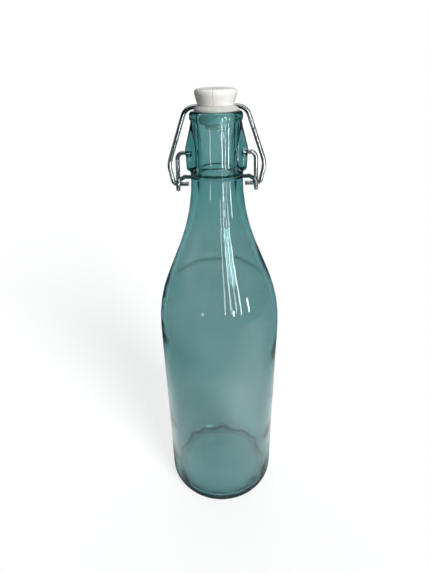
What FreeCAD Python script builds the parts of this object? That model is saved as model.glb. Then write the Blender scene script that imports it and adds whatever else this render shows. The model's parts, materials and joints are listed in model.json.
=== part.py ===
import FreeCAD, Part

import math
import os

import Sketcher
from FreeCAD import Placement, Rotation, Vector

# A one-litre swing-top bottle: a blown glass bottle, and a stopper held down by two bent wires.
# Millimetres, +Z up. The origin is the middle of the ring that the bottle stands on. The ears and
# the wires lie along X; the thumb loop of the lower wire is behind the neck, on +Y.

SIZES = {
    # bottle, outside
    "body_radius": 42.0,
    "body_height": 172.8,  # where the side and the shoulder cone would meet
    "shoulder_rise": 62.44,  # from there to where the cone and the neck would meet
    "shoulder_run": 19.65,  # tangent length of the shoulder's blend
    "neck_wall": 5.3,  # from the bore out to the neck
    "neck_run": 23.8,  # tangent length of the blend into the neck
    "neck_length": 25.76,  # from the cone's corner to the collar
    "heel_radius": 9.0,
    "foot_width": 3.0,  # flat ring that the bottle stands on
    "push_up": 6.5,
    "push_up_radius": 22.0,
    "push_up_blend": 12.0,
    "foot_edge": 1.5,
    # bottle, inside
    "wall": 3.0,
    "floor": 7.5,
    "floor_blend": 12.0,
    "bore_radius": 10.4,
    "bore_run": 24.0,
    "inner_heel": 4.0,
    # the finish: collar, tube and lip
    "finish_height": 32.9,  # from the collar to the rim
    "collar_proud": 0.2,
    "collar_height": 1.3,
    "collar_flare": 3.4,
    "tube_wall": 3.9,  # from the bore out to the tube
    "lip_proud": 1.1,  # from the tube out to the lip
    "lip_height": 4.3,
    "lip_round": 2.4,
    "lip_under": 1.0,
    # ears, measured up from the collar and out from the tube
    "ear_proud": 3.9,
    "ear_widest": 13.5,
    "ear_foot_tuck": 0.55,  # how much less the ear stands out at its foot
    "ear_foot": 0.4,
    "ear_width": 16.6,
    "ear_edge": 2.0,
    "ear_foot_round": 2.4,
    "ear_blend": 6.0,
    "ear_top_inset": 0.3,  # how far the ear's top starts inside the tube
    "root_cover": 0.9,  # glass between the bore and the ear's root
    # sockets in the ears
    "pivot_height": 10.0,  # from the collar up to the lever's pivot
    "socket_wall": 3.9,  # glass between the bore and the end of a socket
    "socket_clearance": 0.25,
    "anchor_gap": 0.4,
    # wires
    "wire_radius": 1.3,
    "eye_below_collar": 7.7,
    "eye_clearance": 0.3,
    "eye_flat": 0.2,  # how much sharper the eye's corners are than a full circle
    "leg_gap": 5.5,  # from the ear out to the lever's leg
    "leg_splay": 0.5,
    "shackle_bend": 3.6,
    "eye_shift": 0.25,  # sideways step of the eye's first turn
    "arm_clearance": 0.25,  # between the thumb loop's arm and the leg that it crosses
    "loop_gap": 1.6,  # from the neck to the back of the thumb loop
    "loop_corner_y": 11.0,
    "loop_knee_y": 3.0,  # where the arm starts to dip
    "loop_knee_bend": 8.0,
    "loop_dip": 2.2,  # from the eyes down to the back of the loop
    "loop_flat": 9.5,
    "loop_bend": 9.0,
    "bar_lift": 2.1,  # from the rim up to the bar through the stopper
    "shoulder_gap": 1.7,  # from the lip out to the bail's shoulder
    "bail_shoulder_bend": 7.0,
    "hip_below_pivot": 6.2,
    "hip_flare": 2.5,
    "bail_hip_bend": 12.0,
    "foot_tuck": 0.4,  # how far the bail's foot tucks in beside the lever's leg
    "bail_foot_bend": 2.8,
    "stub_gap": 1.2,  # from the neck to the end of a stub
    # stopper head
    "head_radius": 12.0,
    "head_seat_radius": 10.4,
    "head_seat_lift": 3.0,  # from the rim up to the underside of the head
    "head_widest": 5.6,
    "head_height": 9.0,
    "head_crown": 0.7,
    "head_edge": 1.9,
    "bar_hole_clearance": 0.2,
    "stem_radius": 5.0,
    "button_radius": 6.3,
    "button_height": 2.6,
    "button_edge": 1.0,
    # stopper gasket
    "flange_overlap": 1.8,  # how far the flange reaches over the lip
    "flange_lift": 0.6,
    "flange_height": 1.4,
    "seat_drop": 0.6,
    "plug_clearance": 0.8,
    "plug_top": 2.3,
    "plug_drop": 5.3,
    "tip_taper": 1.0,
    "tip_drop": 6.7,
}

doc = FreeCAD.newDocument("swing_top_bottle")
sheet = doc.addObject("Spreadsheet::Sheet", "Sizes")
for row, (name, length) in enumerate(SIZES.items(), start=1):
    sheet.set(f"A{row}", name)
    sheet.set(f"B{row}", str(length))
    sheet.setAlias(f"B{row}", name)
doc.recompute()


class Size:
    """A length: its number now, and the sheet formula that keeps it live."""

    def __init__(self, value, formula):
        self.value = value
        self.formula = formula

    def __add__(self, other):
        return Size(self.value + other.value, f"({self.formula} + {other.formula})")

    def __sub__(self, other):
        return Size(self.value - other.value, f"({self.formula} - {other.formula})")

    def __mul__(self, other):
        return Size(self.value * other.value, f"({self.formula} * {other.formula})")

    def __truediv__(self, other):
        return Size(self.value / other.value, f"({self.formula} / {other.formula})")

    def __neg__(self):
        return Size(-self.value, f"(0 - {self.formula})")


def number(value):
    return Size(float(value), str(float(value)))


def root(square):
    return Size(math.sqrt(square.value), f"sqrt({square.formula})")


def size(name):
    return Size(float(sheet.get(name)), f"Sizes.{name}")


ZERO = number(0)
TWO = number(2)
FULL_TURN = 360

# Heights and reaches that several pieces share.
collar = size("body_height") + size("shoulder_rise") + size("neck_length")
rim = collar + size("finish_height")
pivot = collar + size("pivot_height")
eye = collar - size("eye_below_collar")
bar = rim + size("bar_lift")
seat = rim + size("head_seat_lift")
button_top = rim - size("tip_drop")
wire_width = size("wire_radius") * TWO
eye_radius = wire_width + size("eye_clearance")
neck_radius = size("bore_radius") + size("neck_wall")
tube_radius = size("bore_radius") + size("tube_wall")
lip_radius = tube_radius + size("lip_proud")
ear_reach = tube_radius + size("ear_proud")
leg_reach = ear_reach + size("leg_gap")
socket_floor = size("bore_radius") + size("socket_wall")


def below_rim(name):
    return rim - size(name)


# ---------------------------------------------------------------- sketches


def corner(x, y, bend=None, run=None):
    """One corner of an outline: its place, and the radius or the tangent length that rounds it."""
    return {"x": x, "y": y, "bend": bend, "run": run}


def rounding(before, here, after, bend, run):
    """The two tangent points, the centre and the radius of the arc that rounds a corner."""
    back = (before - here).normalize()
    ahead = (after - here).normalize()
    half_tan = math.sqrt((1 + back.dot(ahead)) / (1 - back.dot(ahead)))
    tangent = run.value if run else bend.value * half_tan
    radius = tangent / half_tan
    middle = (back + ahead).normalize()
    centre = here + middle * math.hypot(radius, tangent)
    return here + back * tangent, here + ahead * tangent, centre, radius


def arc_through(start, end, centre, radius):
    """The shorter arc from start to end about centre."""
    towards = ((start + end) * 0.5 - centre).normalize()
    return Part.Arc(start, centre + towards * radius, end)


def bind(sketch, constraint, length):
    """Adds a constraint whose length follows a sheet formula."""
    index = sketch.addConstraint(constraint)
    sketch.setExpression(f"Constraints[{index}]", length.formula)


def fix_point(sketch, geometry, point, at):
    """Fixes a point of the sketch at a corner's x and y."""
    for kind, length, axis in (("DistanceX", at["x"], -2), ("DistanceY", at["y"], -1)):
        if length is ZERO:
            sketch.addConstraint(Sketcher.Constraint("PointOnObject", geometry, point, axis))
        else:
            place = Sketcher.Constraint(kind, -1, 1, geometry, point, length.value)
            bind(sketch, place, length)


def draw_outline(sketch, corners, closed):
    """Draws straight runs through the corners, rounded by tangent arcs where a corner asks."""
    places = [Vector(c["x"].value, c["y"].value, 0) for c in corners]
    count = len(corners)
    rounded = {}
    for i, c in enumerate(corners):
        if c["bend"] or c["run"]:
            after = places[(i + 1) % count]
            rounded[i] = rounding(places[i - 1], places[i], after, c["bend"], c["run"])
    lines = []
    for i in range(count if closed else count - 1):
        j = (i + 1) % count
        start = rounded[i][1] if i in rounded else places[i]
        end = rounded[j][0] if j in rounded else places[j]
        lines.append(sketch.addGeometry(Part.LineSegment(start, end), False))
    for i, c in enumerate(corners):
        before = lines[i - 1] if closed or i > 0 else None
        after = lines[i] if i < len(lines) else None
        if i in rounded:
            round_corner(sketch, c, places[i], rounded[i], before, after)
            continue
        if before is not None and after is not None:
            sketch.addConstraint(Sketcher.Constraint("Coincident", before, 2, after, 1))
        if after is not None:
            fix_point(sketch, after, 1, c)
        else:
            fix_point(sketch, before, 2, c)


def round_corner(sketch, at, place, shape, before, after):
    """Joins two lines by an arc, and holds the corner that they point at."""
    start, end, centre, radius = shape
    arc = arc_through(start, end, centre, radius)
    piece = sketch.addGeometry(arc, False)
    turns_left = (place - start).cross(end - place).z > 0
    first, last = (1, 2) if turns_left else (2, 1)
    point = sketch.addGeometry(Part.Point(place), True)
    fix_point(sketch, point, 1, at)
    sketch.addConstraint(Sketcher.Constraint("PointOnObject", point, 1, before))
    sketch.addConstraint(Sketcher.Constraint("PointOnObject", point, 1, after))
    sketch.addConstraint(Sketcher.Constraint("Tangent", before, 2, piece, first))
    sketch.addConstraint(Sketcher.Constraint("Tangent", piece, last, after, 1))
    if at["run"]:
        along = Sketcher.Constraint("Distance", point, 1, piece, first, at["run"].value)
        bind(sketch, along, at["run"])
    else:
        bind(sketch, Sketcher.Constraint("Radius", piece, radius), at["bend"])


def add_body(label):
    body = doc.addObject("PartDesign::Body", label)
    body.Label = label
    return body


def origin_plane(body, role):
    return next(f for f in body.Origin.OriginFeatures if f.Role == role)


def add_sketch(body, name, role):
    sketch = body.newObject("Sketcher::SketchObject", name)
    sketch.AttachmentSupport = (origin_plane(body, role), [""])
    sketch.MapMode = "FlatFace"
    return sketch


def revolved(label, corners):
    """A body turned about Z from an outline of radius and height."""
    body = add_body(label)
    sketch = add_sketch(body, f"{label}_outline", "XZ_Plane")
    draw_outline(sketch, corners, closed=True)
    turned = body.newObject("PartDesign::Revolution", f"{label}_turned")
    turned.Profile = sketch
    turned.ReferenceAxis = (sketch, ["V_Axis"])
    turned.Angle = FULL_TURN
    doc.recompute()
    return body


def wire_circle(body, name, role):
    """The wire's round section, on one of the body's planes."""
    sketch = add_sketch(body, name, role)
    circle = sketch.addGeometry(Part.Circle(Vector(0, 0, 0), Vector(0, 0, 1), 1), False)
    sketch.addConstraint(Sketcher.Constraint("Coincident", circle, 3, -1, 1))
    wire = size("wire_radius")
    bind(sketch, Sketcher.Constraint("Radius", circle, wire.value), wire)
    return sketch


def mirrored(source, name):
    """The other half of a piece, across the plane between the ears."""
    mirror = doc.addObject("Part::Mirroring", name)
    mirror.Source = source
    mirror.Normal = Vector(1, 0, 0)
    return mirror


def along_x(name, radius, length, start, height):
    """A cylinder lying along X, for a wire's hole."""
    cylinder = doc.addObject("Part::Cylinder", name)
    cylinder.setExpression("Radius", radius.formula)
    cylinder.setExpression("Height", length.formula)
    cylinder.Placement = Placement(Vector(start.value, 0, height.value), Rotation(Vector(0, 1, 0), 90))
    cylinder.setExpression("Placement.Base.x", start.formula)
    cylinder.setExpression("Placement.Base.z", height.formula)
    return cylinder


# ---------------------------------------------------------------- bottle


def bottle_outline():
    """Half section of the glass: the outside from the push-up to the rim, then the inside down."""
    body_radius = size("body_radius")
    rise = size("shoulder_rise")
    foot_inner = body_radius - size("heel_radius") - size("foot_width")
    neck_corner = size("body_height") + rise
    collar_radius = neck_radius + size("collar_proud")
    collar_foot = collar - size("collar_height")
    lip_foot = rim - size("lip_height")
    # The inside of the shoulder is parallel to the outside, one wall away.
    inset = body_radius - neck_radius
    slope = root(inset * inset + rise * rise)
    inner_radius = body_radius - size("wall")
    inner_shoulder = size("body_height") - size("wall") * (slope - rise) / inset
    inner_neck = inner_shoulder + (inner_radius - size("bore_radius")) * rise / inset
    floor_top = size("push_up") + size("floor")
    return [
        corner(ZERO, size("push_up")),
        corner(size("push_up_radius"), size("push_up"), bend=size("push_up_blend")),
        corner(foot_inner, ZERO, bend=size("foot_edge")),
        corner(body_radius, ZERO, bend=size("heel_radius")),
        corner(body_radius, size("body_height"), run=size("shoulder_run")),
        corner(neck_radius, neck_corner, run=size("neck_run")),
        corner(neck_radius, collar_foot),
        corner(collar_radius, collar_foot + size("collar_proud")),
        corner(collar_radius, collar + size("collar_proud")),
        corner(tube_radius, collar + size("collar_flare")),
        corner(tube_radius, lip_foot - size("lip_under"), bend=size("lip_under")),
        corner(lip_radius, lip_foot, bend=size("lip_under")),
        corner(lip_radius, rim, bend=size("lip_round")),
        corner(size("bore_radius"), rim, bend=size("lip_round")),
        corner(size("bore_radius"), inner_neck, run=size("bore_run")),
        corner(inner_radius, inner_shoulder, run=size("shoulder_run")),
        corner(inner_radius, size("floor"), bend=size("inner_heel")),
        corner(foot_inner, size("floor"), bend=size("foot_edge")),
        corner(size("push_up_radius"), floor_top, bend=size("floor_blend")),
        corner(ZERO, floor_top),
    ]


def add_ear():
    """One ear: a fin on the side of the finish, with rounded edges."""
    body = add_body("ear")
    sketch = add_sketch(body, "ear_outline", "XZ_Plane")
    top = rim - size("lip_height")
    foot = collar + size("ear_foot")
    root_reach = size("bore_radius") + size("root_cover")
    corners = [
        corner(root_reach, top),
        corner(tube_radius - size("ear_top_inset"), top),
        corner(ear_reach, collar + size("ear_widest"), bend=size("ear_blend")),
        corner(ear_reach - size("ear_foot_tuck"), foot, bend=size("ear_foot_round")),
        corner(root_reach, foot),
    ]
    draw_outline(sketch, corners, closed=True)
    pad = body.newObject("PartDesign::Pad", "ear_pad")
    pad.Profile = sketch
    pad.setExpression("Length", size("ear_width").formula)
    pad.SideType = "Symmetric"
    doc.recompute()
    half_width = size("ear_width").value / 2
    edges = []
    for i, edge in enumerate(pad.Shape.Edges, start=1):
        box = edge.BoundBox
        on_side = box.YLength < 0.01 and abs(abs(box.YMin) - half_width) < 0.01
        if on_side and box.XMax > root_reach.value + 0.01 and box.ZMin < top.value - 0.01:
            edges.append(f"Edge{i}")
    fillet = body.newObject("PartDesign::Fillet", "ear_round")
    fillet.Base = (pad, edges)
    fillet.setExpression("Radius", size("ear_edge").formula)
    doc.recompute()
    return body


def add_bottle():
    """The glass: the turned bottle with its two ears, less the blind sockets for the lever."""
    blank = revolved("bottle_blank", bottle_outline())
    ear = add_ear()
    glass = doc.addObject("Part::MultiFuse", "bottle_glass")
    glass.Shapes = [blank, ear, mirrored(ear, "other_ear")]
    socket_radius = size("wire_radius") + size("socket_clearance")
    socket = along_x("socket", socket_radius, ear_reach, socket_floor, pivot)
    sockets = doc.addObject("Part::MultiFuse", "sockets")
    sockets.Shapes = [socket, mirrored(socket, "other_socket")]
    bottle = doc.addObject("Part::Cut", "bottle")
    bottle.Base = glass
    bottle.Tool = sockets
    return bottle


# ---------------------------------------------------------------- stopper


def add_stopper_head():
    """The white head, with its stem and the button that holds the gasket, less the bar's hole."""
    stem = size("stem_radius")
    button_foot = button_top - size("button_height")
    top = rim + size("head_height") + size("head_seat_lift")
    corners = [
        corner(ZERO, button_foot),
        corner(size("button_radius"), button_foot, bend=size("button_edge")),
        corner(size("button_radius"), button_top),
        corner(stem, button_top),
        corner(stem, seat),
        corner(size("head_seat_radius"), seat),
        corner(size("head_radius"), seat + size("head_widest"), bend=size("head_edge")),
        corner(size("head_radius"), top - size("head_crown"), bend=size("head_edge")),
        corner(ZERO, top),
    ]
    blank = revolved("head_blank", corners)
    hole_radius = size("wire_radius") + size("bar_hole_clearance")
    reach = size("head_radius")
    hole = along_x("bar_hole", hole_radius, reach * TWO, -reach, bar)
    head = doc.addObject("Part::Cut", "stopper_head")
    head.Base = blank
    head.Tool = hole
    return head


def add_stopper_gasket():
    """The rubber washer and plug round the stem, with a channel across its top for the bar."""
    bore = size("bore_radius")
    flange = bore + size("flange_overlap")
    plug = bore - size("plug_clearance")
    corners = [
        corner(size("stem_radius"), button_top),
        corner(plug - size("tip_taper"), button_top),
        corner(plug, below_rim("plug_drop")),
        corner(plug, below_rim("plug_top")),
        corner(bore, below_rim("seat_drop")),
        corner(flange, rim + size("flange_lift")),
        corner(flange, rim + size("flange_height")),
        corner(size("head_seat_radius"), seat),
        corner(size("stem_radius"), seat),
    ]
    blank = revolved("gasket_blank", corners)
    channel_radius = size("wire_radius") + size("bar_hole_clearance")
    channel = along_x("bar_channel", channel_radius, flange * TWO, -flange, bar)
    gasket = doc.addObject("Part::Cut", "stopper_gasket")
    gasket.Base = blank
    gasket.Tool = channel
    return gasket


# ---------------------------------------------------------------- wires


def add_stopper_bail():
    """The upper wire: a bar through the stopper, two legs, and the stubs that turn in the eyes.

    It is drawn about its bar and then hung there, leaning forward to the eyes."""
    body = add_body("stopper_bail")
    drop = bar - eye
    length = root(eye_radius * eye_radius + drop * drop)
    shoulder = lip_radius + size("shoulder_gap")
    foot = leg_reach + wire_width - size("foot_tuck")
    hip_drop = bar - pivot + size("hip_below_pivot")
    corners = [
        corner(ZERO, ZERO),
        corner(shoulder, ZERO, bend=size("bail_shoulder_bend")),
        corner(foot + size("hip_flare"), -hip_drop, bend=size("bail_hip_bend")),
        corner(foot, -length, bend=size("bail_foot_bend")),
        corner(neck_radius + size("stub_gap"), -length),
    ]
    path = add_sketch(body, "bail_path", "XZ_Plane")
    draw_outline(path, corners, closed=False)
    section = wire_circle(body, "bail_section", "YZ_Plane")
    doc.recompute()
    half = body.newObject("PartDesign::AdditivePipe", "bail_half")
    half.Profile = section
    half.Spine = (path, [f"Edge{i + 1}" for i in range(len(path.Shape.Edges))])
    doc.recompute()
    mirror = body.newObject("PartDesign::Mirrored", "bail_mirror")
    mirror.Originals = [half]
    mirror.MirrorPlane = (origin_plane(body, "YZ_Plane"), [""])
    body.Tip = mirror
    lean = -math.degrees(math.atan2(eye_radius.value, drop.value))
    body.Placement = Placement(Vector(0, 0, bar.value), Rotation(Vector(1, 0, 0), lean))
    body.setExpression("Placement.Base.z", bar.formula)
    body.setExpression("Placement.Rotation.Angle", f"-atan({eye_radius.formula} / {drop.formula})")
    return body


def bent_wire(points, bends):
    """Straight runs through the points, joined by tangent arcs, as one wire."""
    edges = []
    start = points[0]
    for i, bend in enumerate(bends, start=1):
        arc_start, arc_end, centre, radius = rounding(points[i - 1], points[i], points[i + 1], bend, None)
        edges.append(Part.LineSegment(start, arc_start).toShape())
        edges.append(arc_through(arc_start, arc_end, centre, radius).toShape())
        start = arc_end
    edges.append(Part.LineSegment(start, points[-1]).toShape())
    return Part.Wire(edges)


def lever_points():
    """Corners of the lower wire's centre line on +X, from its socket to the middle of the loop."""
    radius = eye_radius.value
    low = eye.value - radius
    high = eye.value + radius
    leg = leg_reach.value
    crossing = leg - wire_width.value - size("arm_clearance").value
    loop_x = neck_radius.value + size("wire_radius").value
    loop_y = size("loop_corner_y").value
    loop_back = loop_x + size("loop_gap").value
    # The arm leaves the eye on the line that joins this crossing to the loop's corner.
    inward = (crossing - loop_x) / loop_y
    knee_y = size("loop_knee_y").value
    back = high - size("loop_dip").value
    return [
        Vector(socket_floor.value + size("anchor_gap").value, 0, pivot.value),
        Vector(leg - size("leg_splay").value, 0, pivot.value),
        Vector(leg, 0, low),
        Vector(leg - size("eye_shift").value, -2 * radius, low),
        Vector(crossing + inward * 2 * radius, -2 * radius, high),
        Vector(crossing - inward * knee_y, knee_y, high),
        Vector(loop_x, loop_y, back),
        Vector(size("loop_flat").value, loop_back, back),
        Vector(0, loop_back, back),
    ]


def add_lever_bail():
    """The lower wire: anchors in the sockets, one turn for each eye, and the thumb loop."""
    eye_corner = eye_radius - size("eye_flat")
    knee_bend = size("loop_knee_bend")
    loop_bend = size("loop_bend")
    bends = [size("shackle_bend"), eye_corner, eye_corner, eye_corner, knee_bend, loop_bend, loop_bend]
    points = lever_points()
    path = doc.addObject("Part::Feature", "lever_path")
    path.Shape = bent_wire(points, bends)
    section = doc.addObject("Part::Circle", "lever_section")
    section.setExpression("Radius", size("wire_radius").formula)
    section.Placement = Placement(points[0], Rotation(Vector(0, 1, 0), 90))
    half = doc.addObject("Part::Sweep", "lever_half")
    half.Sections = [section]
    half.Spine = (path, [f"Edge{i + 1}" for i in range(len(path.Shape.Edges))])
    half.Solid = True
    half.Frenet = False
    lever = doc.addObject("Part::Fuse", "lever_bail")
    lever.Base = half
    lever.Tool = mirrored(half, "other_lever_half")
    lever.Refine = True
    section_area = math.pi * size("wire_radius").value ** 2
    doc.recompute()
    expected = 2 * section_area * path.Shape.Length
    print(f"lever wire: volume {lever.Shape.Volume:.1f}, section times length {expected:.1f}")
    return lever


# ---------------------------------------------------------------- build and write

pieces = [
    add_bottle(),
    add_stopper_head(),
    add_stopper_gasket(),
    add_stopper_bail(),
    add_lever_bail(),
]
doc.recompute()

for item in doc.Objects:
    if "Invalid" in item.State or "Error" in item.State:
        raise RuntimeError(f"{item.Label} failed: {item.State}")
for piece in pieces:
    if piece.Shape.isNull() or not piece.Shape.isValid() or not piece.Shape.Solids:
        raise RuntimeError(f"{piece.Label} has no valid solid")

os.makedirs("parts", exist_ok=True)
for piece in pieces:
    piece.Shape.exportStep(os.path.join("parts", f"{piece.Label}.step"))
    box = piece.Shape.BoundBox
    print(f"{piece.Label}: {len(piece.Shape.Solids)} solid, volume {piece.Shape.Volume:.1f} mm3,"
          f" z {box.ZMin:.2f} to {box.ZMax:.2f}")
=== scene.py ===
# %% [markdown]
# A tall swing-top bottle in teal glass. The measured model gives a fixed frame: five plain solids
# that already sit in the right place and turn about the right pivots. This lesson gives each of
# them a finer surface and a finish, and lights them on a white sweep. Everything is in metres,
# with +Z up and the wires hanging on either side along X.

import json
import math

import bpy
import numpy as np
from mathutils import Matrix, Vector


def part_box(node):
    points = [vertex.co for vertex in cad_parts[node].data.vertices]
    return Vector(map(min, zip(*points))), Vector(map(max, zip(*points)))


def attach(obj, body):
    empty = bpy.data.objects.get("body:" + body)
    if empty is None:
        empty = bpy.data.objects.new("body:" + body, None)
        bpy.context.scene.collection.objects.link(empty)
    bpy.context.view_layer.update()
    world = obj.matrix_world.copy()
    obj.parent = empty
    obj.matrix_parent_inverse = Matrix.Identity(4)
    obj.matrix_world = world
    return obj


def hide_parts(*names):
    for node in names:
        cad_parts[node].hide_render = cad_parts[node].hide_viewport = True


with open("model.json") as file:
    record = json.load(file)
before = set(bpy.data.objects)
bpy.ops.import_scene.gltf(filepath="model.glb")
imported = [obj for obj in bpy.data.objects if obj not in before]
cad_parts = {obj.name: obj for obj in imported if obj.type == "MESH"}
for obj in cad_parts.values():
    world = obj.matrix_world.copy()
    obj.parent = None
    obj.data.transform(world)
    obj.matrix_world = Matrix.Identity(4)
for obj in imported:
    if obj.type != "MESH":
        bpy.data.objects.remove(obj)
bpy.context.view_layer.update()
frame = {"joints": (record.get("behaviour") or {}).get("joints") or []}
pivots = {j["name"]: np.array(j["pos_m"], float) * 1000 for j in frame["joints"]}
print("pivots in millimetres:", {name: p.round(1).tolist() for name, p in pivots.items()})

# %% [markdown]
# The frame says where things are. The rim is the top of the glass, and the three joints give the
# lever's pivot in the ears, the eyes that the upper wire turns in, and the bar through the stopper.
# Every height below is counted from these, so the pieces land on the frame with no fitting.

# %% Heights and sizes that the pieces share, in millimetres
MM = 0.001
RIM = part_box("bottle")[1].z * 1000
BODY_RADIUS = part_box("bottle")[1].x * 1000
PIVOT = pivots["lever_swing"][2]
EYE_Y, EYE = pivots["bail_swing"][1:]
BAR = pivots["stopper_tilt"][2]
FINISH_HEIGHT = 32.9
COLLAR = RIM - FINISH_HEIGHT
BORE = 10.4  # radius of the mouth
WIRE_RADIUS = 1.3
EYE_RADIUS = -EYE_Y
print(f"rim {RIM:.1f}, collar {COLLAR:.1f}, pivot {PIVOT:.1f}, eye {EYE:.1f}, bar {BAR:.1f}")

# %% [markdown]
# Turned glass and bent wire have one thing in common: straight runs joined by arcs that touch them.
# One helper rounds the corners of such a line, in a plane or in space, and divides its straight
# runs. Splines would bulge between the points, and a bevel would be the same size everywhere.


# %% A line with rounded corners
def unit(vector):
    """The same direction with a length of 1: v / |v|."""
    return vector / np.linalg.norm(vector, axis=-1, keepdims=True)


def rounded(points, bends, step, turn=math.radians(7)):
    """Runs through the points, with an arc of radius bends[i] at each inner corner.

    The arc's centre lies on the line that halves the corner, radius / sin(half angle) away, and
    its points are centre + (sin((1-t)a) start + sin(ta) end) / sin(a), for t from 0 to 1."""
    points = np.asarray(points, float)
    pieces = [points[:1]]
    for before, here, after, bend in zip(points, points[1:], points[2:], bends):
        if bend == 0:
            pieces.append(here[None])
            continue
        back, ahead = unit(before - here), unit(after - here)
        half = 0.5 * math.acos(float(back @ ahead))
        centre = here + unit(back + ahead) * bend / math.sin(half)
        start = here + back * bend / math.tan(half) - centre
        end = here + ahead * bend / math.tan(half) - centre
        total = math.pi - 2 * half
        t = np.linspace(0, 1, max(4, math.ceil(total / turn) + 1))[:, None]
        swing = np.sin((1 - t) * total) * start + np.sin(t * total) * end
        pieces.append(centre + swing / math.sin(total))
    pieces.append(points[-1:])
    return divided(np.concatenate(pieces), step)


def divided(path, step):
    """The same line with each run cut into equal parts no longer than step, which may be a
    function of the run's middle. Part m of n starts at a + (b - a) m / n."""
    keep = np.r_[True, np.linalg.norm(np.diff(path, axis=0), axis=1) > 1e-6]
    path = path[keep]
    spans = np.diff(path, axis=0)
    longest = step((path[1:] + path[:-1]) / 2) if callable(step) else step
    counts = np.ceil(np.linalg.norm(spans, axis=1) / longest - 1e-9).astype(int)
    run = np.repeat(np.arange(len(counts)), counts)
    part = np.arange(counts.sum()) - np.repeat(np.cumsum(counts) - counts, counts)
    inner = path[run] + spans[run] * (part / counts[run])[:, None]
    return np.vstack([inner, path[-1:]])


trial = rounded([(0, 0), (10, 0), (10, 10)], [2], 1.0)
print(f"a square corner rounded to 2 mm, in steps of 1 mm, takes {len(trial)} points")

# %% [markdown]
# Every new piece is a grid of points: rows along the piece and columns round it. The first helper
# gives the faces that close such a grid. A row at a pole becomes one point, and a ring without
# poles joins its last row to its first, so there is no seam and no open edge. Faces point outwards
# when the columns run anticlockwise and the rows run the way a thumb of the right hand would point.


# %% Faces of a grid
def quads_between(index):
    """The corners of each quad, from row i to i+1 and column j to j+1."""
    return np.stack([index[:-1, :-1], index[:-1, 1:], index[1:, 1:], index[1:, :-1]], -1)


def grid_faces(grid, ring):
    """The points, every face's corners, how many corners each face has, and each corner's place
    on the UV map, which holds turns round the piece and metres along it. The first and last rows
    shrink to their middles unless the grid is a ring."""
    rows, cols = grid.shape[:2]
    index = np.arange(rows * cols).reshape(rows, cols)
    along = np.r_[0, np.cumsum(np.linalg.norm(np.diff(grid, axis=0), axis=2).mean(axis=1))]
    if ring:
        index = np.vstack([index, index[:1]])
        along = np.r_[along, along[-1] + np.linalg.norm(grid[0] - grid[-1], axis=1).mean()]
    quads = quads_between(np.hstack([index, index[:, :1]]))
    turns = np.arange(cols + 1) / cols
    u = np.stack([turns[:-1], turns[1:], turns[1:], turns[:-1]], -1)[None].repeat(len(quads), 0)
    v = np.stack([along[:-1], along[:-1], along[1:], along[1:]], -1)[:, None].repeat(cols, 1)
    uv = np.stack([u, v * MM], -1)
    verts = grid.reshape(-1, 3)
    if ring:
        loops, sizes = quads.ravel(), np.full(quads.shape[0] * cols, 4)
        return verts, loops, sizes, uv.reshape(-1, 2)
    verts = np.vstack([verts, grid[0].mean(0), grid[-1].mean(0)])
    first, last = rows * cols, rows * cols + 1
    low = np.stack([np.full(cols, first), quads[0, :, 2], quads[0, :, 3]], -1)
    high = np.stack([quads[-1, :, 0], quads[-1, :, 1], np.full(cols, last)], -1)
    middle = quads[1:-1]
    loops = np.concatenate([low.ravel(), high.ravel(), middle.ravel()])
    sizes = np.r_[np.full(2 * cols, 3), np.full(middle.shape[0] * cols, 4)]
    coords = [uv[0][:, [0, 2, 3]], uv[-1][:, [0, 1, 3]], uv[1:-1]]
    return verts, loops, sizes, np.concatenate([part.reshape(-1, 2) for part in coords])


def turned(outline, angles):
    """Each row of the outline, a radius and a height, carried round Z: (r cos a, r sin a, z)."""
    r, z = outline[:, :1], outline[:, 1:]
    return np.stack([r * np.cos(angles), r * np.sin(angles), z + 0 * angles], -1)


trial = turned(np.array([(1, 0), (1, 1), (1, 2)]), np.radians([0, 120, 240]))
print(f"a grid of 3 by 3 points closes with {len(grid_faces(trial, False)[2])} faces")

# %% [markdown]
# The second helper makes the mesh from those faces. It ties the piece to the body that it moves
# with, and hides the solid of the frame that it stands in for.


# %% From a grid to a mesh
def mesh_piece(name, grid, body, slot, replaces, ring=False, **shares):
    """A closed mesh over the grid. Each of shares is one number for each grid point, which the
    material can read by its name. A pole takes the mean of its row."""
    verts, loops, sizes, coords = grid_faces(grid, ring)
    used = np.unique(loops)
    renumber = np.zeros(len(verts), int)
    renumber[used] = np.arange(len(used))
    mesh = bpy.data.meshes.new(name)
    mesh.vertices.add(len(used))
    mesh.vertices.foreach_set("co", (verts[used] * MM).ravel())
    mesh.loops.add(len(loops))
    mesh.loops.foreach_set("vertex_index", renumber[loops])
    mesh.polygons.add(len(sizes))
    mesh.polygons.foreach_set("loop_start", np.cumsum(sizes) - sizes)
    mesh.uv_layers.new(name="UVMap").data.foreach_set("uv", coords.ravel())
    for share, values in shares.items():
        values = np.r_[values.ravel(), values[0].mean(), values[-1].mean()][used]
        layer = mesh.attributes.new(share, "FLOAT", "POINT").data
        layer.foreach_set("value", values.astype(np.float32))
    mesh.update(calc_edges=True)
    mesh.validate()
    mesh.shade_smooth()
    piece = bpy.data.objects.new(name, mesh)
    bpy.context.scene.collection.objects.link(piece)
    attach(piece, body)
    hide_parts(replaces)
    lowest, highest = grid.min((0, 1)).round(1), grid.max((0, 1)).round(1)
    print(f"{name}: {(sizes - 2).sum()} triangles, box {lowest} to {highest} mm")
    return piece


print("meshes come closed, smooth and tied to their bodies")

# %% [markdown]
# The bottle is one closed skin round the glass: up the outside, over the lip and down the inside.
# Two separate skins would leave a slit at the lip, and glass has to be closed for light to bend
# through its real thickness. The columns are closer together near the ears, where the shape is
# small, and wider apart at the front and back, where it is plain.

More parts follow.
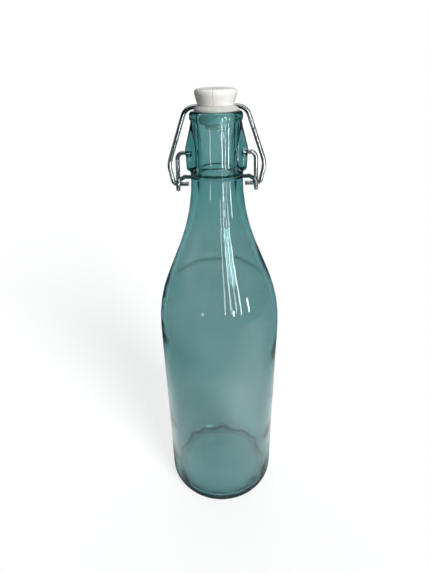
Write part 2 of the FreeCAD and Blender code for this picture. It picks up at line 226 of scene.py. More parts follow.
# %% Columns round the bottle
SOCKET_ANGLE, EAR_ANGLE = 13.75, 34
quarter = np.r_[np.linspace(0, SOCKET_ANGLE, 12)[:-1],
                np.linspace(SOCKET_ANGLE, EAR_ANGLE, 19)[:-1],
                np.linspace(EAR_ANGLE, 90, 27)]
half = np.r_[quarter[:-1], 180 - quarter[::-1][:-1]]
COLUMNS = np.radians(np.r_[half, half + 180])
print(f"{len(COLUMNS)} columns, from {np.degrees(np.diff(COLUMNS)).min():.2f} degrees apart")

# %% [markdown]
# The outline is a set of corners, each with a radius, a height and the size of the arc that rounds
# it: pushed-up base, foot ring, heel, side, shoulder, neck, collar, the tube of the finish with its
# bead lip, and then the bore and the inner wall back down to the floor. The rows are 0.4 mm apart
# across the ears.

# %% Outline of the glass
PUSH_UP, FLOOR = 5.5, 7.5  # rise of the base, and thickness of the glass above it
FOOT, DOME = 30, 12  # radii of the foot ring and of the flat top of the base
INNER_RADIUS, NECK = 39, 15.7
RING, TUBE, LIP = 16.0, 14.3, 15.4  # radii of the collar ring, the finish and its bead
SHOULDER = 172.8
SOCKET_SPAN = 4.0  # plain tube above and below the pivot
OUTSIDE = [
    (0, PUSH_UP, 0), (DOME, PUSH_UP, 20), (FOOT, 0, 4), (BODY_RADIUS, 0, 9),
    (BODY_RADIUS, SHOULDER, 97.3), (NECK, 235.24, 117.8),
    (15.6, COLLAR - 2.2, 0.6), (RING, COLLAR - 1.7, 0.5), (RING, COLLAR + 0.2, 0.7),
    (15.1, COLLAR + 1.1, 0.8), (TUBE, COLLAR + 3.4, 2), (TUBE, PIVOT - SOCKET_SPAN, 0),
    (TUBE, PIVOT + SOCKET_SPAN, 0), (TUBE, RIM - 5.3, 1),
    (LIP, RIM - 4.3, 1.2), (LIP, RIM, 2.1), (BORE, RIM, 2.1),
]
INSIDE = [
    (BORE, 240.1, 118.8), (INNER_RADIUS, 172.2, 97.3), (INNER_RADIUS, FLOOR, 4),
    (FOOT, FLOOR, 10), (DOME, PUSH_UP + FLOOR, 20), (0, PUSH_UP + FLOOR, 0),
]


def row_spacing(middle):
    """How long a run of the outline may be: short across the finish, longer down the body."""
    radius, height = middle.T
    finish = (height > COLLAR - 3) & (height < RIM - 2) & (radius > 13)
    heel = (height > 7) & (height < 14) & (radius > 29)
    return np.select([finish, heel, height > COLLAR], [0.4, 0.7, 1.5], 2.6)


corners = np.array(OUTSIDE + INSIDE)
outline = rounded(corners[:, :2], corners[1:-1, 2], row_spacing)
inner_from = int(np.argmax(outline[:, 1] >= outline[:, 1].max() - 1e-6))
inside = np.arange(len(outline)) > inner_from
print(f"{len(outline)} rows, of which {inside.sum()} are inside")

# %% [markdown]
# Blown glass is never quite even. Its inner wall pools and thins a little as it cools, which is
# what bends the light into soft streaks, and the mould's flutes leave a scalloped ring where the
# wall meets the floor. Sums of a few slow waves give this, and they fade out at the finish, where
# the neck was pressed in a separate tool.


# %% Unevenness of the wall
def fade(value, start, end):
    """Smooth step from 0 at start to 1 at end: t t (3 - 2 t)."""
    t = np.clip((value - start) / (end - start), 0, 1)
    return t * t * (3 - 2 * t)


def bell(value, middle, width):
    """A smooth hump, 1 at the middle and next to 0 two widths away: exp(-((v - m) / w)^2)."""
    return np.exp(-((value - middle) / width) ** 2)


def lobes(angle):
    """Thirteen uneven humps round the heel, from 0 to 1."""
    return 0.5 + 0.5 * np.cos(13 * angle + 0.7 * np.sin(2 * angle + 1))


def inner_waves(radius, height, angle):
    """Radius of the inner wall less its flutes, which shrink upwards, and its slow waves."""
    on_wall = fade(radius, 12, 36) * fade(height, 240, 200)
    flutes = 0.5 * lobes(angle) * fade(height, 26, 9)
    waves = (0.30 * np.sin(height / 6.6 + 1.9 * np.sin(angle + 0.6) + 0.9)
             + 0.26 * np.sin(height / 10.3 - 2 * angle + 2.0)
             + 0.18 * np.sin(height / 15.0 + 3 * angle)) * fade(height, 14, 60)
    return radius - (flutes * fade(radius, 20, 34) + 0.45 * (waves + 0.5)) * on_wall


def outer_waves(radius, height, angle):
    """Radius of the outer wall, which touched the mould, with far fainter waves, always inwards."""
    on_wall = fade(radius, 18, 38) * fade(height, 235, 190) * fade(height, 12, 40)
    swell = 1 + np.sin(height / 12.0 + 2 * angle) * np.cos(3 * angle - height / 31.0)
    return radius - 0.07 * swell * on_wall


r = np.repeat(outline[:, :1], len(COLUMNS), 1)
z = np.repeat(outline[:, 1:], len(COLUMNS), 1)
r = np.where(inside[:, None], inner_waves(r, z, COLUMNS), outer_waves(r, z, COLUMNS))
wall = r[inside & (outline[:, 0] > INNER_RADIUS - 0.1)]
print(f"inner wall from {wall.min():.2f} to {wall.max():.2f} mm radius")

# %% [markdown]
# Each ear is a boss pressed out of the finish, and stands out furthest half-way up. Cut across, it
# is a rounded box, and a box and a circle can be joined as one smooth curve: the sum of two high
# powers, taken back by its root, follows whichever is further out and rounds the corner between.

# %% Ears
EAR_REACH = 18.2
EAR_OUTLINE = rounded([
    (10, COLLAR), (14.6, COLLAR + 0.4), (17.65, COLLAR + 0.4), (EAR_REACH, COLLAR + 13.5),
    (14.0, RIM - 4.3), (11, RIM - 3.6),
], [0, 2.4, 6, 0], 0.3)
BOX_POWER, JOIN_POWER = 9, 28


def with_ears(radius, height, angle):
    """(radius^28 + box^28)^(1/28), where box = ((|cos a| / X)^9 + (|sin a| / Y)^9)^(-1/9). X is how
    far the ear stands out and Y is half its width, which shrinks from 8.3 to 3.3 mm at its top."""
    reach = np.interp(height, EAR_OUTLINE[:, 1], EAR_OUTLINE[:, 0], left=5, right=5)
    width = 8.3 - 5.0 * np.clip((height - COLLAR - 15) / (RIM - 4.3 - COLLAR - 15), 0, 1)
    far = (np.abs(np.cos(angle)) / reach) ** BOX_POWER
    wide = (np.abs(np.sin(angle)) / width) ** BOX_POWER
    box = (far + wide) ** (-1 / BOX_POWER)
    return (radius ** JOIN_POWER + box ** JOIN_POWER) ** (1 / JOIN_POWER)


on_finish = (outline[:, 1] > COLLAR - 0.5) & (outline[:, 1] < RIM - 3.3)
on_finish &= ~inside & (outline[:, 0] > 13)
r[on_finish] = with_ears(r[on_finish], z[on_finish], COLUMNS)
glass = np.stack([r * np.cos(COLUMNS), r * np.sin(COLUMNS), z], -1)
print(f"ears reach {np.abs(glass[on_finish][..., 0]).max():.2f} mm")

# %% [markdown]
# The glass's colour carries painted shade and painted light. Each point gets a number: above 0
# where painted shade darkens the tint, and fully dark from 1 up, but below 0 where painted light
# pales it.
# The darkest painted shade is a scalloped ring where the wall turns into the floor. It is measured
# along the outline, so that it keeps its width wherever the surface turns. Crescents on the heel
# and the tops of the ears get painted shade too, and a wavy line across the back of the shoulder is
# a painted reflection, dark with paler glass above it. The floor and the lower ears get painted
# light.

# %% Painted shade and light in the glass
inner, outer = inside[:, None], ~inside[:, None]
travel = np.r_[0, np.cumsum(np.linalg.norm(np.diff(outline, axis=0), axis=1))]
heel_row = np.flatnonzero(inside & (outline[:, 1] < 8.0) & (outline[:, 0] > 34))[0]
off_ring = travel[:, None] - travel[heel_row] + 2.4 * (lobes(COLUMNS) - 0.5)
# Painted shade: a ring at the heel inside, crescents on the heel and the tops of the ears.
ring_share = 1.25 * bell(off_ring, 0, 1.5) * inner
crescents = 0.22 + 0.20 * np.cos(4 * (COLUMNS + 0.82)) * fade(np.sin(COLUMNS), 0.2, -0.2)
heel_share = crescents * fade(z, 17, 8) * fade(r, 30, 36) * outer
at_ear = bell(np.sin(COLUMNS), 0, 0.35)
ear_share = 0.65 * at_ear * fade(z, PIVOT + 6, PIVOT + 10) * outer
# Painted reflection: a dark wavy line across the back of the shoulder, with paler glass above it.
wave_height = 188 + 1.2 * np.sin(2 * COLUMNS + 0.5) + 0.5 * np.sin(7 * COLUMNS)
above_wave = z - (wave_height + 2.4 * bell(COLUMNS, 1.17, 0.12))
wave_share = 0.90 * bell(above_wave, 0, 1.8) - 0.30 * bell(above_wave, 5.5, 3.0)
wave_share = wave_share * fade(np.sin(COLUMNS), -0.45, 0.2) * inner
low_ear = 0.8 * at_ear * fade(z, PIVOT + 5, PIVOT) * fade(z, COLLAR, COLLAR + 4)
# Painted light: the floor and the lower ears come out paler.
painted_light_share = 0.9 * fade(r, 33, 29) * fade(z, 20, 16) + low_ear * outer
# Painted shade above 0 and painted light below 0, summed for each point.
pooled = ring_share + heel_share + ear_share + wave_share - painted_light_share
print(f"heel ring at {outline[heel_row].round(1)} mm")
print(f"pooled glass from {pooled.min():.2f} to {pooled.max():.2f}")

# %% [markdown]
# The lever's anchors sit in blind sockets. A hole can be cut with a Boolean, but that leaves long
# thin faces that show in glass. Here the square rings of grid points round each pivot are moved
# onto circles instead, and the rings inside the mouth are pushed in, so the hole has clean walls.

# %% Sockets
SOCKET_FLOOR = 14.3  # how far from the axis
RING_RADII = np.array([0, 0.9, 1.45, 1.55, 1.56, 1.62, 2.15])
RING_DEPTHS = np.array([1, 1, 1, 0.95, 0.1, 0.02, 0])


def with_socket(points, side):
    """Ring k of the square grid round the pivot goes to a circle of radius RING_RADII[k], and in
    by RING_DEPTHS[k] of the way to the floor."""
    rows = np.flatnonzero(on_finish)
    middle_row = rows[np.argmin(np.abs(outline[rows, 1] - PIVOT))]
    middle_col = 0 if side > 0 else int(np.argmin(np.abs(COLUMNS - math.pi)))
    steps = np.arange(1 - len(RING_RADII), len(RING_RADII))
    row_steps, col_steps = np.meshgrid(steps, steps, indexing="ij")
    at = (middle_row + row_steps, (middle_col + col_steps) % len(COLUMNS))
    patch = points[at]
    ring = np.maximum(np.abs(row_steps), np.abs(col_steps))
    y, height = patch[..., 1], patch[..., 2] - PIVOT
    scale = RING_RADII[ring] / (np.hypot(y, height) + 1e-9)
    surface = np.abs(patch[..., 0])
    patch[..., 0] = side * (surface + (SOCKET_FLOOR - surface) * RING_DEPTHS[ring])
    patch[..., 1] = y * scale
    patch[..., 2] = PIVOT + height * scale
    points[at] = patch
    return points


for side in (1, -1):
    glass = with_socket(glass, side)
bottle = mesh_piece("bottle_glass", glass, "bottle", "glass", "bottle", pooled=pooled)

# %% [markdown]
# The stopper's head is a moulded plug of glossy white plastic, wider at the top than where it sits.
# Its two mould halves leave a hair-fine line down each side. A few extra columns, a fraction of a
# degree apart, carry that line as real geometry, so the head stays smooth everywhere else. Painted
# shade darkens the colour along that groove.

# %% Stopper head
SEAT = RIM + 3.0
BUTTON_TOP = RIM - 6.7
SEAM = np.radians(262.0)
HEAD_RADIUS, STEM_RADIUS, BUTTON_RADIUS = 12, 5, 6.3
near_seam = np.radians([-2.4, -1.4, -0.8, -0.4, 0, 0.4, 0.8, 1.4, 2.4])
seam_columns = np.r_[SEAM + near_seam, SEAM + math.pi + near_seam] % (2 * math.pi)
even_columns = np.radians(np.linspace(0, 360, 121)[:-1])
head_columns = np.unique(np.r_[even_columns, seam_columns].round(6))
head_corners = np.array([
    (0, BUTTON_TOP - 2.6, 0), (BUTTON_RADIUS, BUTTON_TOP - 2.6, 1),
    (BUTTON_RADIUS, BUTTON_TOP, 0.5), (STEM_RADIUS, BUTTON_TOP, 0.2), (STEM_RADIUS, SEAT, 0.2),
    (10.4, SEAT, 0.35), (HEAD_RADIUS, SEAT + 5.6, 1.9), (HEAD_RADIUS, SEAT + 8.3, 1.9),
    (0, SEAT + 9.0, 0),
])
head_outline = rounded(head_corners[:, :2], head_corners[1:-1, 2], 0.7)


def channel(points, above):
    """Keeps the points of a piece clear of the bar: where |y| < 1.5, z stays outside the circle
    bar +- sqrt(1.5^2 - y^2)."""
    half_width = 1.5
    open_by = np.sqrt(np.clip(half_width ** 2 - points[..., 1] ** 2, 0, None))
    near = (np.abs(points[..., 1]) < half_width) & (np.abs(points[..., 0]) > 5.1)
    if above:
        near &= points[..., 2] > SEAT - 0.1
        points[..., 2] = np.where(near, np.maximum(points[..., 2], BAR + open_by), points[..., 2])
    else:
        near &= points[..., 2] > BAR - 1.6
        points[..., 2] = np.where(near, np.minimum(points[..., 2], BAR - open_by), points[..., 2])
    return points


head = turned(head_outline, head_columns)
off_seam = np.minimum(np.abs(head_columns - SEAM), np.abs(head_columns - (SEAM - math.pi)))
on_flank = fade(head_outline[:, 0], 9.5, 10.6) * fade(head_outline[:, 1], SEAT - 1, SEAT)
seam = bell(off_seam, 0, math.radians(0.7)) * on_flank[:, None]
head[..., :2] *= (1 - 0.1 * seam / HEAD_RADIUS)[..., None]
head = mesh_piece("stopper_head_moulded", channel(head, above=True), "stopper", "stopper",
                  "stopper_head", seam=seam)

# %% [markdown]
# The gasket is a soft ring: a flange that lies on the lip and a plug that hangs into the mouth. It
# has no pole, because the stem goes through it, so its rows start and end half-way up its hole and
# join end to end like a doughnut.

# %% Stopper gasket
HOLE = 5.05
gasket_corners = np.array([
    (HOLE, 290.0, 0), (HOLE, BUTTON_TOP, 0), (8.6, BUTTON_TOP, 0.4), (9.6, RIM - 5.3, 0.5),
    (9.6, RIM - 2.3, 0.3), (10.4, RIM - 0.5, 0.4), (12.5, RIM + 0.1, 0.3),
    (12.6, RIM + 1.4, 0.7), (10.6, SEAT, 0.6), (HOLE, SEAT, 0), (HOLE, 290.1, 0),
])
gasket_outline = rounded(gasket_corners[:, :2], gasket_corners[1:-1, 2], 0.5, math.radians(14))
gasket = turned(gasket_outline, np.radians(np.linspace(0, 360, 145)[:-1]))
gasket = mesh_piece("stopper_gasket_rubber", channel(gasket, above=False), "stopper", "gasket",
                    "stopper_gasket", ring=True)

# %% [markdown]
# Both wires are drawn steel, bent cold round pins. Each is a circle carried along its centre line.
# The circle needs a fixed direction to be measured from, and one that is never along the wire
# keeps it from twisting. The ends are cut square, with the burr rubbed off.


# %% Carry a circle along a line
def wire_grid(path, steady, sides=20):
    """Point + radius (cos a N + sin a B), where T is the run's direction, N is the steady
    direction less its part along T, and B = T x N. Two rings at each end round off the cut."""
    along = unit(np.gradient(path, axis=0))
    across = unit(steady - (along @ steady)[:, None] * along)
    beside = np.cross(along, across)
    turns = np.linspace(0, 2 * math.pi, sides + 1)[:-1, None]
    ring = WIRE_RADIUS * (np.cos(turns) * across[:, None] + np.sin(turns) * beside[:, None])
    ends = []
    for at, inward in ((0, along[0]), (-1, -along[-1])):
        edge = path[at] + inward * 0.08 + 0.94 * ring[at]
        ends.append(np.stack([path[at] + 0 * ring[at], path[at] + 0.8 * ring[at], edge]))
    body = path[:, None] + ring
    body[0] += along[0] * 0.25
    body[-1] -= along[-1] * 0.25
    return np.concatenate([ends[0], body, ends[1][::-1]])


def both_sides(half):
    """A line from one end to the middle, followed by its mirror image back out: x becomes -x."""
    other = np.array(half)[::-1].copy()
    other[:, 0] *= -1
    return np.concatenate([np.array(half), other])


print(f"wires are {2 * WIRE_RADIUS:.1f} mm thick")

# %% [markdown]
# The upper wire carries the stopper: a straight bar through it, shoulders that clear the lip, legs
# that swell outwards past the ears, and two short stubs that turn in the eyes of the lower wire.

# %% Stopper bail
DROP = math.hypot(EYE_Y, BAR - EYE)
LEG = EAR_REACH + 5.5
bail_half = [(-16.9, DROP), (-LEG - 2.2, DROP), (-LEG - 4.7, BAR - PIVOT + 6.2), (-17.1, 0)]
bail_flat = both_sides(bail_half)
down = np.array([0, EYE_Y, EYE - BAR]) / DROP
bail_points = np.array([0, 0, BAR]) + bail_flat[:, :1] * [1, 0, 0] + bail_flat[:, 1:] * down
bail_path = rounded(bail_points, [2.8, 12, 7, 7, 12, 2.8], 1.2)
bail = mesh_piece("stopper_bail_wire", wire_grid(bail_path, np.cross([1, 0, 0], down)), "bail",
                  "wire", "stopper_bail")

# %% [markdown]
# The lower wire is the lever. From each socket it comes out, drops down the leg, makes one turn for
# the eye and then runs back round the neck as the thumb loop.

# %% Lever bail
LOW, HIGH = EYE - EYE_RADIUS, EYE + EYE_RADIUS
lever_half = [
    (14.7, 0, PIVOT), (LEG - 0.5, 0, PIVOT),
    (LEG, 0, LOW), (LEG - 0.25, -2 * EYE_RADIUS, LOW), (22.88, -2 * EYE_RADIUS, HIGH),
    (19.8, 3.0, HIGH), (17.0, 11.0, HIGH - 2.2), (9.5, 18.6, HIGH - 2.2),
]
lever_bends = [3.6, 2.7, 2.7, 2.7, 8, 9, 9]
lever_path = rounded(both_sides(lever_half), lever_bends + lever_bends[::-1], 1.0, math.radians(9))
steady = unit(np.array([0.6, 0.5, 0.62]))
lever = mesh_piece("lever_bail_wire", wire_grid(lever_path, steady), "lever", "wire", "lever_bail")

# %% [markdown]
# Materials come next. Small helpers make a node and join it in one line. Patterns read Object
# coordinates, so they stay fixed on the piece from every side.


# %% Node helpers
def blank(name):
    """The node tree of a new material, with nothing in it."""
    material = bpy.data.materials.new(name)
    material.use_nodes = True
    material.node_tree.nodes.clear()
    return material.node_tree


def finish(name):
    """A new material with its output and one Principled shader."""
    tree = blank(name)
    output = tree.nodes.new("ShaderNodeOutputMaterial")
    shader = tree.nodes.new("ShaderNodeBsdfPrincipled")
    tree.links.new(shader.outputs[0], output.inputs["Surface"])
    return tree, shader, output


def add(tree, kind, inputs=(), **settings):
    """A node of that kind with its settings, its sockets set to values or joined to outputs."""
    node = tree.nodes.new("ShaderNode" + kind)
    for key, value in settings.items():
        setattr(node, key, value)
    for key, value in dict(inputs).items():
        join(tree, value, node.inputs[key])
    return node


def join(tree, value, socket):
    """Joins an output to the socket, or sets the socket to a plain value."""
    if isinstance(value, bpy.types.NodeSocket):
        tree.links.new(value, socket)
    else:
        socket.default_value = value


def noise(tree, place, scale, detail=3.0, roughness=0.5, stretch=(1, 1, 1)):
    """Soft random patches, a scale to the metre, drawn out by stretch."""
    mapped = add(tree, "Mapping", {"Vector": place, "Scale": stretch})
    made = add(tree, "TexNoise", {"Vector": mapped.outputs[0], "Scale": scale, "Detail": detail,
                                  "Roughness": roughness})
    return made.outputs["Fac"]


def between(tree, value, low, high, from_low=0.3, from_high=0.7):
    """The value read as a number from low to high."""
    made = add(tree, "MapRange", {"Value": value, "From Min": from_low, "From Max": from_high,
                                  "To Min": low, "To Max": high})
    return made.outputs[0]


def upwards(tree, place, low, high):
    """0 below one height and 1 above the other, both in metres."""
    return between(tree, add(tree, "SeparateXYZ", {0: place}).outputs[2], 0.0, 1.0, low, high)


def shade(tree, value, stops):
    """The value read as a colour, along a ramp of (place, colour)."""
    ramp = add(tree, "ValToRGB", {"Fac": value})
    elements = ramp.color_ramp.elements
    while len(elements) < len(stops):
        elements.new(0.5)
    for element, (place, colour) in zip(elements, stops):
        element.position = place
        element.color = (*colour, 1)
    return ramp.outputs["Color"]


def blend(tree, share, first, second):
    """The first colour, giving way to the second as share goes from 0 to 1."""
    return add(tree, "Mix", {0: share, 6: first, 7: second}, data_type="RGBA").outputs[2]


def bump(tree, height, strength, distance, normal=None):
    """The surface's direction, tilted by the slope of height, on top of an earlier tilt if any."""
    made = add(tree, "Bump", {"Height": height, "Strength": strength, "Distance": distance})
    if normal is not None:
        tree.links.new(normal, made.inputs["Normal"])
    return made.outputs[0]


print("node helpers are ready")

# %% [markdown]
# Teal glass takes much of its colour from its thickness: light that runs a long way inside, near
# the edges and through the ears, comes out far darker. Volume Absorption does this. The surface
# itself takes a little of every colour too, which keeps the walls even. Its colour is darkened by
# painted shade and a painted reflection and paled by painted light, as the share above sets, and it
# carries faint smears and the shallow ripple of cooled glass.

# %% Teal glass
tree, shader, output = finish("teal_glass")
place = add(tree, "TexCoord").outputs["Object"]
smear = noise(tree, place, 38, 4, 0.55, (1, 1, 0.35))
ripple = noise(tree, place, 70, 2, 0.4, (1, 1, 0.3))
patches = noise(tree, place, 14, 3, 0.5, (1, 1, 0.5))
body_tint = shade(tree, patches, [(0.3, (0.64, 0.68, 0.67)), (0.7, (0.74, 0.78, 0.77))])
neck_tint = shade(tree, patches, [(0.3, (0.67, 0.74, 0.73)), (0.7, (0.74, 0.815, 0.80))])
tint = blend(tree, upwards(tree, place, 0.200, 0.245), body_tint, neck_tint)
# Above 0 this share darkens the tint with painted shade, below 0 it pales it with painted light.
painted_shade_fac = add(tree, "Attribute", attribute_name="pooled").outputs["Fac"]
painted_light_fac = add(tree, "Math", {0: painted_shade_fac, 1: -1}, operation="MULTIPLY", use_clamp=True).outputs[0]
tint = blend(tree, painted_light_fac, tint, (0.97, 1, 1, 1))
join(tree, blend(tree, painted_shade_fac, tint, (0.03, 0.07, 0.075, 1)), shader.inputs["Base Color"])
join(tree, between(tree, smear, 0.0, 0.035), shader.inputs["Roughness"])
chatter = noise(tree, place, 420, 2, 0.5, (1, 1, 1))
rippled = bump(tree, ripple, 0.12, 0.0006)
join(tree, bump(tree, chatter, 0.15, 0.0001, rippled), shader.inputs["Normal"])
shader.inputs["Transmission Weight"].default_value = 1.0
shader.inputs["IOR"].default_value = 1.5
depth = add(tree, "VolumeAbsorption", {"Color": (0.42, 0.707, 0.717, 1), "Density": 300.0})
tree.links.new(depth.outputs[0], output.inputs["Volume"])
bottle.data.materials.append(bpy.data.materials["teal_glass"])
print("teal glass on", bottle.name)

# %% [markdown]
# The head is white plastic with a warm tone and a high gloss. Handling leaves it slightly uneven,
# so roughness and colour drift a little, and a fine grain breaks up the reflections.

# %% White moulded plastic
tree, shader, output = finish("white_moulded_plastic")
place = add(tree, "TexCoord").outputs["Object"]
drift = noise(tree, place, 160, 4, 0.6)
grain = noise(tree, place, 2600, 3, 0.6)
warm = shade(tree, drift, [(0.3, (0.80, 0.775, 0.72)), (0.7, (0.86, 0.84, 0.79))])
# The seam share darkens the colour along the mould line's groove: painted shade.
line = add(tree, "Attribute", attribute_name="seam").outputs["Fac"]
join(tree, blend(tree, line, warm, (0.42, 0.38, 0.32, 1)), shader.inputs["Base Color"])
join(tree, between(tree, drift, 0.16, 0.30), shader.inputs["Roughness"])
join(tree, bump(tree, grain, 0.08, 0.0001), shader.inputs["Normal"])
shader.inputs["Coat Weight"].default_value = 0.35
shader.inputs["Coat Roughness"].default_value = 0.08
head.data.materials.append(bpy.data.materials["white_moulded_plastic"])
print("white plastic on", head.name)

# %% [markdown]
# The gasket is cloudy silicone rubber. It lets some light through but scatters it, so it is part
# transmission and part soft scatter, with a dull, slightly dusty skin. The plug that hangs in the
# mouth is coloured paler than the flange on the lip, which is painted light.

# %% Cloudy rubber
tree, shader, output = finish("cloudy_rubber")
place = add(tree, "TexCoord").outputs["Object"]
cloud = noise(tree, place, 220, 4, 0.6)
dust = noise(tree, place, 1500, 3, 0.6)
flange_tone = shade(tree, cloud, [(0.3, (0.58, 0.58, 0.54)), (0.7, (0.68, 0.68, 0.64))])
plug_painted_light = shade(tree, cloud, [(0.3, (0.78, 0.83, 0.80)), (0.7, (0.86, 0.90, 0.87))])
upper = upwards(tree, place, (RIM - 1.5) * MM, RIM * MM)
# Below the rim the plug takes a paler colour than the flange: painted light.
join(tree, blend(tree, upper, plug_painted_light, flange_tone), shader.inputs["Base Color"])
join(tree, between(tree, dust, 0.32, 0.5), shader.inputs["Roughness"])
join(tree, bump(tree, dust, 0.1, 0.0001), shader.inputs["Normal"])
shader.inputs["Transmission Weight"].default_value = 0.15
shader.inputs["IOR"].default_value = 1.41
gasket.data.materials.append(bpy.data.materials["cloudy_rubber"])
print("rubber on", gasket.name)

# %% [markdown]
# Drawn steel wire shows fine lines along its length, from the die that it was pulled through. The
# UV map runs along the wire, so noise squeezed round it and drawn out along it follows each bend.

# %% Drawn steel
tree, shader, output = finish("drawn_steel")
coords = add(tree, "TexCoord")
lines = noise(tree, coords.outputs["UV"], 30, 3, 0.6, (1, 0.6, 1))
stain = noise(tree, coords.outputs["Object"], 240, 4, 0.6)
steel = shade(tree, stain, [(0.3, (0.40, 0.41, 0.42)), (0.7, (0.52, 0.53, 0.54))])
join(tree, steel, shader.inputs["Base Color"])
join(tree, between(tree, lines, 0.08, 0.17), shader.inputs["Roughness"])
join(tree, bump(tree, lines, 0.06, 0.00005), shader.inputs["Normal"])
shader.inputs["Metallic"].default_value = 1.0
for wire in (bail, lever):
    wire.data.materials.append(bpy.data.materials["drawn_steel"])
print("steel on", bail.name, "and", lever.name)

# %% [markdown]
# The set is a white floor that runs to a white sky. For the eye, and for what glass and metal
# mirror or let through, both are plain white. Soft light on the pieces comes from a dimmer sky in
# front and a brighter one behind, so that colours come out as they are written and the back isn't
# dark. In a sky shader, Generated is the way that a ray goes, and its Y grows away from the eye.
# The floor adds its own white to a matt surface, which darkens where the bottle keeps light off it.

# %% White sweep
SKY_IN_FRONT, SKY_BEHIND = 0.10, 1.30
FLOOR_GLOW = 0.72


def seen(tree):
    """1 for rays from the eye, off a gloss or through glass, and 0 for soft light."""
    path = add(tree, "LightPath").outputs
    share = path["Is Camera Ray"]
    for kind in ("Is Glossy Ray", "Is Transmission Ray"):
        share = add(tree, "Math", {0: share, 1: path[kind]}, operation="MAXIMUM").outputs[0]
    return share


world = bpy.data.worlds.new("white_sky")
bpy.context.scene.world = world
world.use_nodes = True
tree = world.node_tree
tree.nodes.clear()
white = add(tree, "Background", {"Color": (1, 1, 1, 1), "Strength": 1.0})
behind = add(tree, "SeparateXYZ", {0: add(tree, "TexCoord").outputs["Generated"]}).outputs[1]
soft = add(tree, "Background", {
    "Color": (0.93, 0.97, 1, 1),
    "Strength": between(tree, behind, SKY_IN_FRONT, SKY_BEHIND, 0.15, 0.9)})
mix = add(tree, "MixShader", {0: seen(tree), 1: soft.outputs[0], 2: white.outputs[0]})
add(tree, "OutputWorld", {"Surface": mix.outputs[0]})

bpy.ops.mesh.primitive_circle_add(vertices=96, radius=30, fill_type="NGON",
                                  location=(0, 0, -0.0002))
floor = bpy.context.object
floor.name = "white_floor"
tree = blank("white_floor")
matt = add(tree, "BsdfDiffuse", {"Color": (0.35, 0.35, 0.35, 1)})
glow = add(tree, "Math", {0: seen(tree), 1: FLOOR_GLOW}, operation="MULTIPLY").outputs[0]
own = add(tree, "Emission", {"Color": (1, 1, 1, 1), "Strength": glow})
both = add(tree, "AddShader", {0: matt.outputs[0], 1: own.outputs[0]})
add(tree, "OutputMaterial", {"Surface": both.outputs[0]})
floor.data.materials.append(bpy.data.materials["white_floor"])
print("floor and sky are white")

# %% [markdown]
# A tall window to the right of the eye gives the bright upright streaks. It has an upper and a
# lower row of panes, with bars between them, and a small side window stands low on the left. Only
# mirror-like reflections see them. The light itself comes from the sky and from soft daylight,
# which falls from the right in front.

# %% Lamps
LAMP_DISTANCE = 0.6


def around(angle, distance, height):
    """A place on the set: (sin a, -cos a) times the distance, and the height. The eye's side is
    angle 0, and a quarter turn is on its right."""
    return np.stack([np.sin(angle) * distance, -np.cos(angle) * distance, height + 0 * angle], -1)


def aimed(thing, at, ahead, lean=0.0):
    """Puts a lamp or a camera at a place, facing ahead and leaning clockwise by that many radians.
    Its own axes are right, up and back: R = A x Z, U = R x A, both turned by the lean, and -A."""
    level = unit(np.cross(ahead, [0, 0, 1]))
    upright = np.cross(level, ahead)
    right = level * math.cos(lean) - upright * math.sin(lean)
    up = upright * math.cos(lean) + level * math.sin(lean)
    axes = [[right[i], up[i], -ahead[i], at[i]] for i in range(3)]
    thing.matrix_world = Matrix(axes + [[0, 0, 0, 1]])
    bpy.context.scene.collection.objects.link(thing)


def lamp(name, azimuth, height, size, radiance):
    """A flat lamp facing the bottle's axis. Its power is radiance x pi x area."""
    data = bpy.data.lights.new(name, "AREA")
    data.shape = "RECTANGLE"
    data.size, data.size_y = size
    data.energy = radiance * math.pi * size[0] * size[1]
    made = bpy.data.objects.new(name, data)
    at = around(math.radians(azimuth), LAMP_DISTANCE, height)
    aimed(made, at, unit(at * [-1, -1, 0]))
    made.visible_camera = made.visible_diffuse = made.visible_transmission = False


for i, (azimuth, width) in enumerate([(11, 0.012), (22, 0.018), (32, 0.012), (41, 0.026)]):
    lamp(f"upper_pane_{i}", azimuth, 0.335, (width, 0.31), 18)
for i, (azimuth, width) in enumerate([(26, 0.034), (41, 0.024), (57, 0.036)]):
    lamp(f"lower_pane_{i}", azimuth, 0.175, (width, 0.10), 24)
lamp("side_window", -29, 0.165, (0.05, 0.07), 6.0)

data = bpy.data.lights.new("daylight", "SUN")
data.energy, data.angle = 3.8, math.radians(25)
daylight = bpy.data.objects.new("daylight", data)
aimed(daylight, (0, 0, 1), unit(around(math.radians(36), -1, -math.tan(math.radians(25)))))
daylight.visible_glossy = False
print(len(bpy.data.lights), "lamps are up")

# %% [markdown]
# Felt and a glowing sheet stand round the set, and only mirror-like reflections see them. A teal
# mat and a dark wall draw the dark edges along the wires and the glass. The wall opens at the left,
# high at the right and straight behind. The mat is thinner at the right front, but keeps a dark
# ring at the foot, a painted shadow, and a glowing sheet lies over it there, a painted pool of
# light.

# %% Felt, and a sheet of painted light
MAT_START, WALL_RADIUS = 0.0425, 0.75
TURNS = np.linspace(-math.pi, math.pi, 97)
FELTS = [("dark_felt", "BsdfDiffuse", {"Color": (0.03, 0.065, 0.075, 1)}),
         ("teal_felt", "BsdfDiffuse", {"Color": (0.05, 0.12, 0.13, 1)}),
         ("bright_card", "Emission", {"Strength": 2.2})]
for name, kind, inputs in FELTS:
    tree = blank(name)
    share = add(tree, "Attribute", attribute_name="share").outputs["Fac"]
    cloth = add(tree, "MixShader", {0: share, 1: add(tree, "BsdfTransparent").outputs[0],
                                    2: add(tree, kind, inputs).outputs[0]})
    add(tree, "OutputMaterial", {"Surface": cloth.outputs[0]})


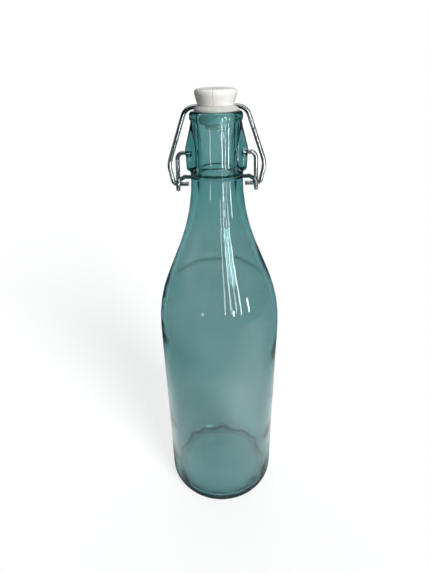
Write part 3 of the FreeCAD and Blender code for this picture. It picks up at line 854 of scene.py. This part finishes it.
def sheet(name, distances, heights, share, material):
    """A round sheet: one ring of points for each distance and height, with quads between them.
    Share is how much of it is there at each point, from 0 to 1."""
    points = around(TURNS[None], distances[:, None], heights[:, None])
    index = np.arange(points.shape[0] * points.shape[1]).reshape(points.shape[:2])
    mesh = bpy.data.meshes.new(name)
    mesh.from_pydata(points.reshape(-1, 3), [], quads_between(index).reshape(-1, 4))
    layer = mesh.attributes.new("share", "FLOAT", "POINT").data
    layer.foreach_set("value", share.astype(np.float32).ravel())
    made = bpy.data.objects.new(name, mesh)
    bpy.context.scene.collection.objects.link(made)
    made.visible_camera = made.visible_diffuse = False
    made.visible_transmission = made.visible_shadow = False
    mesh.materials.append(bpy.data.materials[material])


angles = np.degrees(TURNS)
reach = np.geomspace(MAT_START, WALL_RADIUS, 60)
open_side = 0.85 * bell(angles, 62, 34)
# Painted shadow: a dark felt ring round the bottle's foot, seen only in reflections.
foot_shadow_ring = 0.8 * bell(reach[:, None], MAT_START, 0.016)
mat_share = np.maximum(fade(reach, 0.07, 0.24)[:, None] * (1 - open_side), foot_shadow_ring)
sheet("felt_mat", reach, 0 * reach + 0.0015, mat_share, "teal_felt")
rise = np.linspace(0, 1.1, 34)
left_gap = 0.8 * bell(angles, -82, 26) * bell(rise[:, None], 0.34, 0.09)
right_gap = bell(angles, 50, 30) * fade(rise, 0.40, 0.55)[:, None]
back_gap = 0.9 * bell(np.abs(angles), 172, 11) * bell(rise[:, None], 0.3, 0.25)
wall_share = 1 - left_gap - right_gap - back_gap
sheet("felt_wall", 0 * rise + WALL_RADIUS, rise, wall_share, "dark_felt")
# Painted pool of light: a glowing sheet over the mat at the right front, seen only in reflections.
glow = bell(angles, 36, 36) * bell(reach[:, None], 0.145, 0.06)
sheet("card", reach, 0 * reach + 0.003, glow, "bright_card")
print(f"felt covers {mat_share.mean():.2f} of the mat and {wall_share.mean():.2f} of the wall")

# %% [markdown]
# The eye stands close in front and looks down on the bottle, so the neck comes out large and the
# base small. The lens is a short one. The camera points half a degree off the bottle and leans a
# degree, as a hand would hold it. Light may turn many times, because it crosses four glass surfaces
# and is mirrored between them.

# %% Camera
PITCH, YAW, LEAN = np.radians([29.04, -0.589, 1.208])
CAMERA_PLACE = (0, -0.2535, 0.3212)
data = bpy.data.cameras.new("eye")
data.lens, data.sensor_width, data.sensor_fit = 26.2, 36, "AUTO"
data.clip_start, data.clip_end = 0.01, 200
camera = bpy.data.objects.new("eye", data)
level = math.cos(PITCH)
ahead = np.array([math.sin(YAW) * level, math.cos(YAW) * level, -math.sin(PITCH)])
aimed(camera, CAMERA_PLACE, ahead, LEAN)
bpy.context.scene.camera = camera
bpy.context.scene.view_settings.view_transform = "Standard"
bpy.context.scene.cycles.max_bounces = 24
bpy.context.scene.cycles.glossy_bounces = 16
bpy.context.scene.cycles.transmission_bounces = 24
print("camera looks down", round(math.degrees(PITCH), 1), "degrees")
